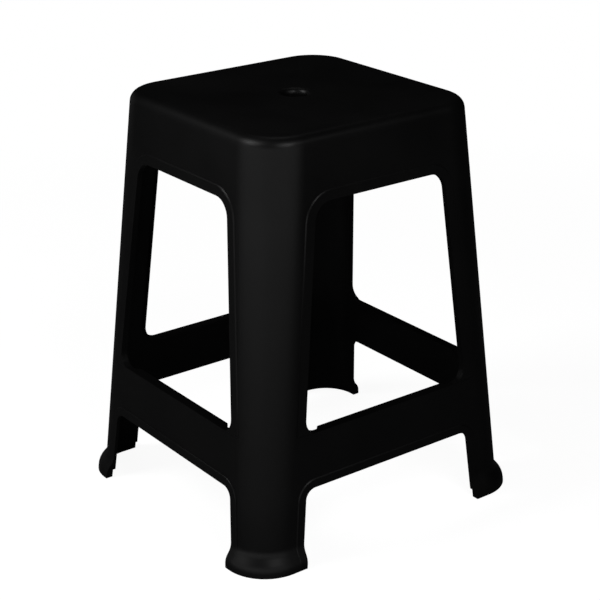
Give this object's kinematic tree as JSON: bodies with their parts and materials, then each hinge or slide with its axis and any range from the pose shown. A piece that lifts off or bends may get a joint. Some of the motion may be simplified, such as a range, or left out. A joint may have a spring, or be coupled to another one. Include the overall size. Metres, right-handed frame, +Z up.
{
  "type": "stacking stool",
  "caption": "One-shot moulded stacking stool: square seat with round hole, skirted top, four splayed open-backed legs with flared feet, low stretchers between them.",
  "frame": {"origin": "centre of the footprint, on the floor that the feet stand on", "axes": "+Z up along the symmetry axis; -Y is the front face, X runs across it; the footprint is a little wider along X than along Y"},
  "size_m": [0.3714, 0.3492, 0.45],
  "materials": {
    "black_plastic": "satin gloss black polypropylene, as moulded"
  },
  "bodies": {
    "root": {"seat_panel": "black_plastic", "seat_rib_front": "black_plastic", "seat_rib_front_right": "black_plastic", "seat_rib_right": "black_plastic", "seat_rib_back_right": "black_plastic", "seat_rib_back": "black_plastic", "seat_rib_back_left": "black_plastic", "seat_rib_left": "black_plastic", "seat_rib_front_left": "black_plastic", "apron_front": "black_plastic", "apron_right": "black_plastic", "apron_back": "black_plastic", "apron_left": "black_plastic", "stretcher_front": "black_plastic", "stretcher_right": "black_plastic", "stretcher_back": "black_plastic", "stretcher_left": "black_plastic", "leg_front_left": "black_plastic", "leg_front_right": "black_plastic", "leg_back_right": "black_plastic", "leg_back_left": "black_plastic"}
  },
  "joints": []
}
